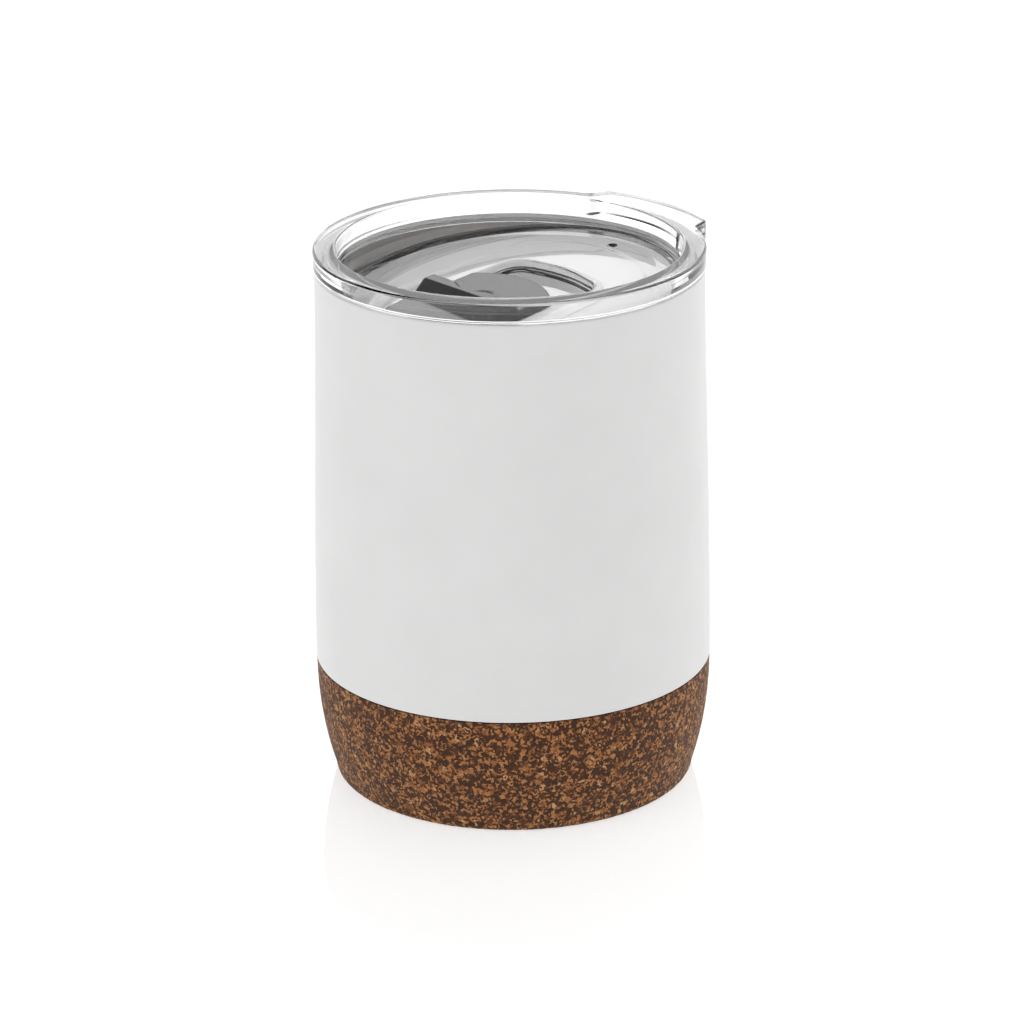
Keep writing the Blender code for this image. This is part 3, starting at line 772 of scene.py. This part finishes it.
def tray_wall_loops():
    """The tray's border, which rises a little, and the wall from there up to the flange."""
    loops = []
    for k in range(9):
        share = k / 8
        rise = TRAY_CONE_RISE * TRAY_CONE_BEND * share * share
        loops.append(foot_ring(TRAY_RADIUS - TRAY_CONE_RADIUS - TRAY_CONE_WIDTH * share, rise))
    loops += [foot_ring(TRAY_FILLET * (1 - sine), TRAY_CONE_RISE + TRAY_FILLET * (1 - cosine))
              for sine, cosine in quarter(8)]
    height = LID_TOP - 1.5 * FLANGE_EDGE
    share = (height - TRAY_CENTRE) / (LID_TOP - TRAY_CENTRE)
    loops.append(lid_ring(TRAY_RADIUS + (TRAY_TOP_RADIUS - TRAY_RADIUS) * share, height))
    return loops


def flange_loops():
    """The ring flange with its thumb tab, from its inner edge over the top to its underside."""
    loops = [lid_ring(TRAY_TOP_RADIUS + FLANGE_EDGE * (1 - cosine),
                      LID_TOP - FLANGE_EDGE * (1 - sine)) for sine, cosine in quarter(8)]
    loops.append(lid_ring(TRAY_TOP_RADIUS + FLANGE_EDGE + 0.3 * MM, LID_TOP))
    loops.append(lid_ring(FLANGE_RADIUS - FLANGE_EDGE - 0.3 * MM, LID_TOP, True))
    loops += [lid_ring(FLANGE_RADIUS - FLANGE_EDGE * (1 - sine),
                       LID_TOP - FLANGE_EDGE * (1 - cosine), True) for sine, cosine in quarter(8)]
    loops += [lid_ring(FLANGE_RADIUS - FLANGE_EDGE * (1 - cosine),
                       FLANGE_BOTTOM + FLANGE_EDGE * (1 - sine), True)
              for sine, cosine in quarter(8)]
    loops.append(lid_ring(SKIRT_RADIUS + 0.8 * MM, FLANGE_BOTTOM))
    return loops


def plug_loops():
    """The plug below the flange, with the shallow bead round it, up to the tray's underside."""
    bead = SKIRT_RADIUS + BEAD_REACH
    plug = rounded([(SKIRT_RADIUS, FLANGE_BOTTOM, 0), (SKIRT_RADIUS, BEAD_TOP, 0.2 * MM),
                    (bead, BEAD_TOP - 0.4 * MM, 0.2 * MM), (bead, BEAD_LOW, 0.3 * MM),
                    (SKIRT_RADIUS - 0.4 * MM, SKIRT_BOTTOM, 0.7 * MM),
                    (SKIRT_INNER_RADIUS, SKIRT_BOTTOM, 0.5 * MM),
                    (SKIRT_INNER_RADIUS, FLANGE_BOTTOM, 0)], 5)
    loops = [lid_ring(r, z) for r, z in plug[:-1]]
    return loops + [under_ring(UNDER_FILLET * (1 - cosine), -UNDER_FILLET * (1 - sine))
                    for sine, cosine in quarter(6)]


def tub_loops():
    """The underside of the tray and of the tub that hangs below it round the recess."""
    under = -TRAY_THICKNESS
    tub = -POCKET_DEPTH - POCKET_WALL
    steps = [(-POCKET_WALL - 0.6 * MM, under)]
    steps += [(-POCKET_WALL - TUB_FILLET * (1 - sine), under - TUB_FILLET * (1 - cosine))
              for sine, cosine in quarter(4)[1:]]
    steps += [(-POCKET_WALL + TUB_EDGE * (1 - cosine), tub + TUB_EDGE * (1 - sine))
              for sine, cosine in quarter(6)]
    return [tray_ring(pocket_outline(inset), height) for inset, height in steps]


def cut_slot(piece, place, corner, steps, name):
    """Cut a rounded hole, given as (half width, near end, far end), through the tray."""
    half, near, far = place
    outline = rounded([(half, near, corner), (half, far, corner), (-half, far, corner),
                       (-half, near, corner)], steps)
    cut(piece, outline, -8 * MM, 3 * MM, name)


def build_lid(look, satin_look):
    """Clear lid: flange with thumb tab, sloping tray, stepped recess, holes, and plug below."""
    loops = recess_loops() + tray_wall_loops() + flange_loops() + plug_loops() + tub_loops()
    piece = finish_mesh("clear_lid", *skin(loops, capped=True), look, "lid", "clear_plastic",
                        "lid_body", sharp=50)
    cut_slot(piece, HOLE, 3.2 * MM, 12, "hole_cut")
    cut_slot(piece, SLOT, 1.0 * MM, 8, "slot_cut")
    cut(piece, arc(VENT_PLACE, VENT_RADIUS, 0, 356, 89), -6 * MM, 3 * MM, "vent_cut")
    piece.data.set_sharp_from_angle(angle=math.radians(50))
    piece.data.materials.append(satin_look)
    for face in piece.data.polygons:
        reach = math.hypot(face.center.x, face.center.y)
        if face.normal.z < -0.5 and reach < SKIRT_INNER_RADIUS - 0.1 * MM:
            face.material_index = 1
    even_shading(piece)


def build_gasket(look):
    """Ribbed seal ring round the lid's plug, right under the flange."""
    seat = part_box("lid_gasket")
    low, high = seat[0].z, seat[1].z
    inner = SKIRT_RADIUS + 0.3 * MM
    outer = seat[1].x
    groove = outer - 0.3 * MM
    rib = (high - low) / 2
    middle = (high + low) / 2
    profile = rounded([
        (inner, high, 0.1 * MM), (outer - 0.15 * MM, high, 0.1 * MM),
        (outer, high - 0.25 * rib, 0.12 * MM), (outer, high - 0.6 * rib, 0.12 * MM),
        (groove, middle, 0.12 * MM), (outer, low + 0.7 * rib, 0.12 * MM),
        (outer, low + 0.35 * rib, 0.12 * MM), (groove, low, 0.1 * MM), (inner, low, 0.1 * MM)], 5)
    even_shading(finish_mesh("lid_seal", *turned(profile), look, "lid", "clear_silicone",
                             "lid_gasket"))


# The stopper

def slider_outline():
    """Stopper outline: straight sides, far end bowed, near end following the tray's wall."""
    half = SLIDER_HALF_WIDTH
    bow = 18.5 * MM
    far_reach = math.degrees(math.asin((half - 0.9 * MM) / bow))
    far = arc((0.0, SLIDER_FAR - bow), bow, 90 - far_reach, 90 + far_reach, 30)
    near_reach = math.degrees(math.asin((half - 2.2 * MM) / -SLIDER_NEAR))
    near = arc((0.0, 0.0), -SLIDER_NEAR, -90 - near_reach, -90 + near_reach, 30)
    far_corner = bezier(far[0], (half - 0.25 * MM, far[0][1] - 0.25 * MM),
                        (half, far[0][1] - 0.6 * MM), (half, far[0][1] - 1.2 * MM), 8)
    near_corner = bezier(near[-1], (half - 1.0 * MM, near[-1][1] + 0.45 * MM),
                         (half, near[-1][1] + 1.6 * MM), (half, near[-1][1] + 3.0 * MM), 8)
    right = near_corner + list(reversed(far_corner))
    left = [(-x, y) for x, y in reversed(right)]
    return near[1:-1] + right + far[1:-1] + left


def ridge_line():
    """Side line of the stopper's top over the ridge: hollow front, crest, and steep back."""
    front = bezier((-17.0 * MM, SLIDER_TOP), (-15.8 * MM, SLIDER_TOP + 0.5 * MM),
                   (-14.0 * MM, 2.8 * MM), (-12.75 * MM, RIDGE_HEIGHT - 0.35 * MM), 22)
    brow = bezier(front[-1], (-12.5 * MM, RIDGE_HEIGHT - 0.15 * MM),
                  (-12.3 * MM, RIDGE_HEIGHT), (-11.8 * MM, RIDGE_HEIGHT), 10)
    crest = bezier(brow[-1], (-10.6 * MM, RIDGE_HEIGHT), (-9.80 * MM, RIDGE_HEIGHT),
                   (-9.60 * MM, RIDGE_HEIGHT - 0.25 * MM), 16)
    back = bezier((-8.2 * MM, SLIDER_TOP + 0.5 * MM), (-7.9 * MM, SLIDER_TOP + 0.1 * MM),
                  (-7.7 * MM, SLIDER_TOP), (-6.9 * MM, SLIDER_TOP), 14)
    slope = [(crest[-1][0] + (back[0][0] - crest[-1][0]) * i / 14,
              crest[-1][1] + (back[0][1] - crest[-1][1]) * i / 14) for i in range(1, 14)]
    return front[:-1] + brow[:-1] + crest + slope + back


def scoop_surface(x, y):
    """Height of the thumb scoop's bowl, which is steeper on the side of the ridge's crest."""
    along = (y - SCOOP_PLACE[1]) * (1.8 if y < SCOOP_PLACE[1] else 1.0)
    off = math.hypot(x - SCOOP_PLACE[0], along) / SCOOP_RADIUS
    return SCOOP_FLOOR + (SLIDER_TOP - SCOOP_FLOOR) * off ** 4


def soft_min(a, b, blend):
    """The lower of two heights, rounded over where they meet."""
    share = min(max(0.5 + (b - a) / (2 * blend), 0.0), 1.0)
    return b + (a - b) * share - blend * share * (1 - share)


def outline_distance(outline, points):
    """Distance of each point from a closed outline."""
    starts = np.array(outline)
    steps = np.roll(starts, -1, axis=0) - starts
    lengths = (steps ** 2).sum(1)
    lengths[lengths == 0] = 1e-18
    nearest = []
    for point in np.array(points):
        share = np.clip(((point - starts) * steps).sum(1) / lengths, 0, 1)
        gaps = starts + steps * share[:, None] - point
        nearest.append(math.sqrt((gaps ** 2).sum(1).min()))
    return nearest


def span_at(outline, x):
    """The lowest and highest y of a closed outline at a distance across it."""
    crossings = []
    for (x_a, y_a), (x_b, y_b) in zip(outline, outline[1:] + outline[:1]):
        if min(x_a, x_b) - 1e-9 <= x <= max(x_a, x_b) + 1e-9:
            if abs(x_b - x_a) < 1e-12:
                crossings += [y_a, y_b]
            else:
                crossings.append(y_a + (y_b - y_a) * ((x - x_a) / (x_b - x_a)))
    return min(crossings), max(crossings)


def slider_rows(outline):
    """Rows of points across the stopper's top: each runs up the slope, over the ridge."""
    half = SLIDER_HALF_WIDTH
    margin = [SLIDER_EDGE * s for s in (0, 0.04, 0.12, 0.25, 0.42, 0.65, 1.0, 1.6)]
    inner = [half - margin[-1] - (half - margin[-1]) * i / 50 for i in range(1, 50)]
    across = [half - m for m in margin] + inner
    across = [-x for x in across] + [0.0] + list(reversed(across))
    ridge = ridge_line()
    start, end = ridge[0][0], ridge[-1][0]
    rows = []
    for x in across:
        low, high = span_at(outline, x)
        near_rows = [low + m for m in margin]
        near_rows += [near_rows[-1] + (start - near_rows[-1]) * i / 12 for i in range(1, 12)]
        far_rows = [high - m for m in reversed(margin)]
        far_rows = [end + (far_rows[0] - end) * i / 12 for i in range(1, 12)] + far_rows
        rows.append([(x, y, SLIDER_TOP) for y in near_rows] + [(x, y, z) for y, z in ridge]
                    + [(x, y, SLIDER_TOP) for y in far_rows])
    return rows


def slider_top(rows, outline):
    """The points of the rows, with the thumb scoop pressed in and the outer edge rounded over."""
    grid = [point for row in rows for point in row]
    top = []
    for (x, y, z), gap in zip(grid, outline_distance(outline, [(x, y) for x, y, _ in grid])):
        edge = max(SLIDER_EDGE - gap, 0.0)
        drop = SLIDER_EDGE - math.sqrt(max(SLIDER_EDGE ** 2 - edge ** 2, 0.0))
        top.append((x, y, soft_min(z, scoop_surface(x, y), 0.25 * MM) - drop))
    return top


def build_slider(look):
    """Stopper plate with its finger ridge, thumb scoop and rounded edges, and the stem below."""
    outline = slider_outline()
    rows = slider_rows(outline)
    verts = slider_top(rows, outline)
    wide, deep = len(rows), len(rows[0])
    faces = [(i * deep + j, i * deep + j + 1, (i + 1) * deep + j + 1, (i + 1) * deep + j)
             for i in range(wide - 1) for j in range(deep - 1)]
    border = [i * deep for i in range(wide)]
    border += [(wide - 1) * deep + j for j in range(1, deep)]
    border += [i * deep + deep - 1 for i in range(wide - 2, -1, -1)]
    border += [j for j in range(deep - 2, 0, -1)]
    rim = [verts[index][:2] for index in border]
    for pull, height in ((0.0, SLIDER_BOTTOM + 0.3 * MM), (0.2 * MM, SLIDER_BOTTOM)):
        first = len(verts)
        for x, y in rim:
            size = math.hypot(x, y - SLIDER_MIDDLE)
            verts.append((x - pull * x / size, y - pull * (y - SLIDER_MIDDLE) / size, height))
        lower = list(range(first, first + len(border)))
        faces += [(border[i - 1], border[i], lower[i], lower[i - 1]) for i in range(len(border))]
        border = lower
    faces.append(tuple(border))
    even_shading(finish_mesh("stopper", [to_tray(*v) for v in verts], faces, look, "stopper",
                             "dark_plastic", "slider_plate", sharp=50))
    half, near, far = STEM
    stem = rounded([(half, near, 0.5 * MM), (half, far, 0.5 * MM), (-half, far, 0.5 * MM),
                    (-half, near, 0.5 * MM)], 6)
    bottom = KEEPER_TOP - KEEPER_THICKNESS - 0.4 * MM
    build_prism("stopper_stem", stem, bottom, SLIDER_BOTTOM + 0.1 * MM, 0.2 * MM, look,
                "stopper", "dark_plastic")


def build_prism(name, outline, bottom, top, edge, look, body, slot, *nodes):
    """A flat outline raised between two heights of the sloping frame, with rounded edges."""
    centre = np.array(outline).mean(0)

    def ring(inset, height):
        points = []
        for x, y in outline:
            away = Vector((x - centre[0], y - centre[1]))
            pulled = away * (1 - inset / max(away.length, 1e-6))
            points.append(to_tray(centre[0] + pulled.x, centre[1] + pulled.y, height))
        return points

    loops = [ring(edge * (1 - sine), bottom + edge * (1 - cosine)) for sine, cosine in quarter(4)]
    loops += [ring(edge * (1 - cosine), top - edge * (1 - sine)) for sine, cosine in quarter(4)]
    piece = finish_mesh(name, *skin(loops, capped=True), look, body, slot, *nodes, sharp=50)
    even_shading(piece)
    return piece


def build_stopper_seal(look):
    """The seal pad under the stopper, over the drinking hole."""
    half = HOLE[0] + 1.8 * MM
    near = HOLE[1] - 0.9 * MM
    far = HOLE[2] + 2.2 * MM
    pad = rounded([(half, near, 3.2 * MM), (half, far, 2.7 * MM), (-half, far, 2.7 * MM),
                   (-half, near, 3.2 * MM)], 10)
    build_prism("stopper_seal", pad, SLIDER_BOTTOM - 0.1 * MM, SLIDER_BOTTOM + 0.9 * MM, 0.2 * MM,
                look, "stopper", "grey_silicone", "slider_seal")


# Stage

def build_stage():
    """A wide, pale, glossy table top with a faint glow of its own."""
    sides = 96
    outline = arc((0.0, 0.0), 4.0, 0, 360, sides)[:-1]
    made, tree, shader, at = start_material("pale_table", Roughness=0.06, Specular_IOR_Level=0.3,
                                            Emission_Color=WHITE, Emission_Strength=TABLE_GLOW)
    patches = cloud(tree, at, 60.0, 2.0)
    wire(tree, ramp(tree, patches, (0.3, (TABLE_TONE,) * 3), (0.7, (TABLE_TONE * 1.03,) * 3)),
         shader, "Base Color")
    mesh = bpy.data.meshes.new("table_top")
    mesh.from_pydata([(x, y, 0.0) for x, y in outline], [], [tuple(range(sides))])
    mesh.materials.append(made)
    table_top = bpy.data.objects.new("table_top", mesh)
    bpy.context.scene.collection.objects.link(table_top)


def build_camera():
    """Camera at the product's view, with a slight roll."""
    azimuth = math.radians(CAMERA_AZIMUTH)
    elevation = math.radians(CAMERA_ELEVATION)
    roll = math.radians(CAMERA_ROLL)
    back = Vector((math.sin(azimuth) * math.cos(elevation),
                   -math.cos(azimuth) * math.cos(elevation), math.sin(elevation)))
    right = Vector((0, 0, 1)).cross(back).normalized()
    up = back.cross(right)
    tilted_right = right * math.cos(roll) - up * math.sin(roll)
    tilted_up = right * math.sin(roll) + up * math.cos(roll)
    lens = bpy.data.cameras.new("camera")
    lens.lens = CAMERA_LENS
    lens.sensor_width = 36.0
    lens.clip_start = 0.01
    lens.clip_end = 50.0
    camera = bpy.data.objects.new("camera", lens)
    bpy.context.scene.collection.objects.link(camera)
    turn = Matrix((tilted_right, tilted_up, back)).transposed().to_4x4()
    camera.matrix_world = Matrix.Translation(CAMERA_TARGET + back * CAMERA_DISTANCE) @ turn
    bpy.context.scene.camera = camera


def build_light():
    """Studio of light all round: dim in front, bright behind and overhead, with one dark gap.

    A brighter box stands behind the cup, between two heights, for the lid to mirror. The camera
    itself sees plain white.
    """
    world = bpy.data.worlds.new("studio")
    bpy.context.scene.world = world
    world.use_nodes = True
    tree = world.node_tree
    tree.nodes.remove(tree.nodes["Background"])
    direction = add_node(tree, "TexCoord").outputs["Generated"]
    height = add_node(tree, "SeparateXYZ", {0: direction}).outputs["Z"]
    azimuth = math.radians(CAMERA_AZIMUTH + DARK_SIDE_TURN)
    away = (-math.sin(azimuth), math.cos(azimuth), 0.0)
    facing = add_node(tree, "VectorMath", {0: direction, 1: away}, operation="DOT_PRODUCT")
    spread = between_limits(tree, facing.outputs["Value"], -1.0, 1.0)
    light = ramp(tree, spread, (FRONT_END, (FRONT_LIGHT,) * 3), (SIDE_START, (SIDE_LIGHT,) * 3))
    overhead = between_limits(tree, height, BOX_TOP, BOX_TOP + 0.15)
    light = blend_colour(tree, overhead, light, (TOP_LIGHT,) * 3 + (1.0,))
    gap = add_node(tree, "VectorMath", {0: direction, 1: GAP_DIRECTION}, operation="DOT_PRODUCT")
    gap = between_limits(tree, gap.outputs["Value"], GAP_EDGE, GAP_EDGE + 0.07)
    light = blend_colour(tree, gap, light, (GAP_LIGHT,) * 3 + (1.0,))
    above = between_limits(tree, height, BOX_LOW, BOX_LOW + 0.03)
    below = between_limits(tree, height, BOX_TOP + 0.04, BOX_TOP)
    box = combine(tree, "MULTIPLY", combine(tree, "MULTIPLY", above, below),
                  between_limits(tree, spread, *BOX_SIDES))
    glow = combine(tree, "MULTIPLY", box, BOX_LIGHT)
    total = add_node(tree, "VectorMath", {0: light, 1: glow}, operation="ADD").outputs[0]
    wall = add_node(tree, "Background", {"Color": total, "Strength": WALL_STRENGTH})
    white = add_node(tree, "Background", {"Color": WHITE, "Strength": 1.0})
    seen = add_node(tree, "LightPath").outputs["Is Camera Ray"]
    mixed = add_node(tree, "MixShader", {0: seen, 1: wall.outputs[0], 2: white.outputs[0]})
    tree.links.new(mixed.outputs[0], tree.nodes["World Output"].inputs["Surface"])
    bpy.context.scene.view_settings.view_transform = "Standard"


def dress_hidden_nodes(keeper_look):
    """Procedural materials for the CAD nodes that stay as they are."""
    looks = {
        "slider_keeper": keeper_look,
        "outer_base_cap": steel_look("base_cap_steel", (0.62, 0.61, 0.60), 0.3, 0.004),
        "vacuum_seal_bead": grainy_look("solder_glass", (0.10, 0.10, 0.11), (0.2, 0.2, 0.21), 0.3),
        "getter_clip": steel_look("clip_steel", (0.55, 0.54, 0.53), 0.35, 0.004),
        "getter_pellet": grainy_look("getter", (0.16, 0.15, 0.15), (0.25, 0.24, 0.23), 0.8),
        "heat_shield_foil": grainy_look("copper_foil", (0.80, 0.42, 0.30), (0.95, 0.58, 0.42),
                                        0.25, 1.0, 3.0),
        "cork_bond_ring": grainy_look("bond_ring", (0.45, 0.36, 0.22), (0.6, 0.5, 0.33), 0.5),
        "cork_bond_pad": grainy_look("bond_pad", (0.45, 0.36, 0.22), (0.6, 0.5, 0.33), 0.5),
    }
    for name, look in looks.items():
        mesh = frame["nodes"][name].data
        mesh.materials.clear()
        mesh.materials.append(look)


charcoal = dark_plastic_look()
steel = steel_look("polished_steel", (0.60, 0.575, 0.55), 0.20, 0.002)
build_coated_wall(white_coat_look())
build_liner(steel)
build_cork(cork_look())
build_lid(clear_plastic_look(), satin_plastic_look())
build_gasket(soft_seal_look("clear_silicone", (0.99, 0.99, 0.985), 0.95, 0.08))
build_slider(charcoal)
build_stopper_seal(soft_seal_look("grey_silicone", (0.35, 0.35, 0.35), 0.0, 0.4))
dress_hidden_nodes(charcoal)
build_stage()
build_camera()
build_light()
